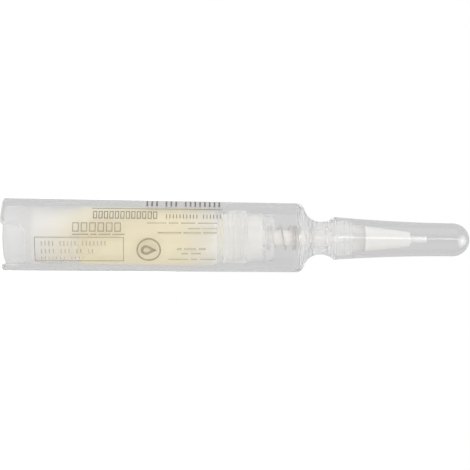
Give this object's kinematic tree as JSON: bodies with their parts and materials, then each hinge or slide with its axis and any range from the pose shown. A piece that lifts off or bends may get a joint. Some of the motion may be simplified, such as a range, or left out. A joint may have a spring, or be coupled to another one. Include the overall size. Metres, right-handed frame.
{
  "type": "solder paste syringe",
  "caption": "Press-type dosing syringe: clear sleeve and domed cap over a spring pump, a bottle of pale paste and a white nozzle.",
  "frame": {"origin": "centre of the sleeve's rear rim, which it stands on", "axes": "+Z along the axis towards the nozzle and cap; -Y is the printed side"},
  "size_m": [0.023, 0.023, 0.149],
  "materials": {
    "clear_plastic": "clear, glossy",
    "frosted_plastic": "natural, frosted",
    "white_plastic": "white, satin",
    "natural_plastic": "natural white, satin",
    "spring_steel": "drawn wire",
    "paste": "pale yellow paste",
    "soft_seal": "soft, translucent",
    "ink": "thin dark print"
  },
  "bodies": {
    "sleeve": {"outer_sleeve": "clear_plastic", "nozzle": "white_plastic", "nozzle_tube": "white_plastic", "stem": "natural_plastic", "dosing_piston": "natural_plastic", "return_spring": "spring_steel", "printed_marks": "ink"},
    "cap": {"cap": "clear_plastic"},
    "bottle": {"bottle": "frosted_plastic", "base_plug": "frosted_plastic", "flux_paste": "paste", "closure_collar": "frosted_plastic", "pump_cylinder": "natural_plastic", "piston_bush": "natural_plastic", "gasket": "soft_seal", "inlet_seat": "natural_plastic"},
    "follower": {"follower_piston": "natural_plastic"},
    "inlet_disc": {"inlet_valve": "soft_seal"},
    "outlet_disc": {"outlet_valve": "soft_seal"}
  },
  "joints": [
    {"name": "cap_pull", "type": "slide", "parent": "sleeve", "child": "cap", "axis": [0, 0, 1], "range_m": [0, 0.04]},
    {"name": "press", "type": "slide", "parent": "sleeve", "child": "bottle", "axis": [0, 0, 1], "range_m": [0, 0.005], "stiffness_N_per_m": 800, "springref_m": -0.001, "deforming": ["return_spring"]},
    {"name": "follower_travel", "type": "slide", "parent": "bottle", "child": "follower", "axis": [0, 0, 1], "range_m": [0, 0.042], "deforming": ["flux_paste"]},
    {"name": "inlet_lift", "type": "slide", "parent": "bottle", "child": "inlet_disc", "axis": [0, 0, 1], "range_m": [0, 0.0005]},
    {"name": "outlet_lift", "type": "slide", "parent": "sleeve", "child": "outlet_disc", "axis": [0, 0, 1], "range_m": [0, 0.0005]}
  ]
}
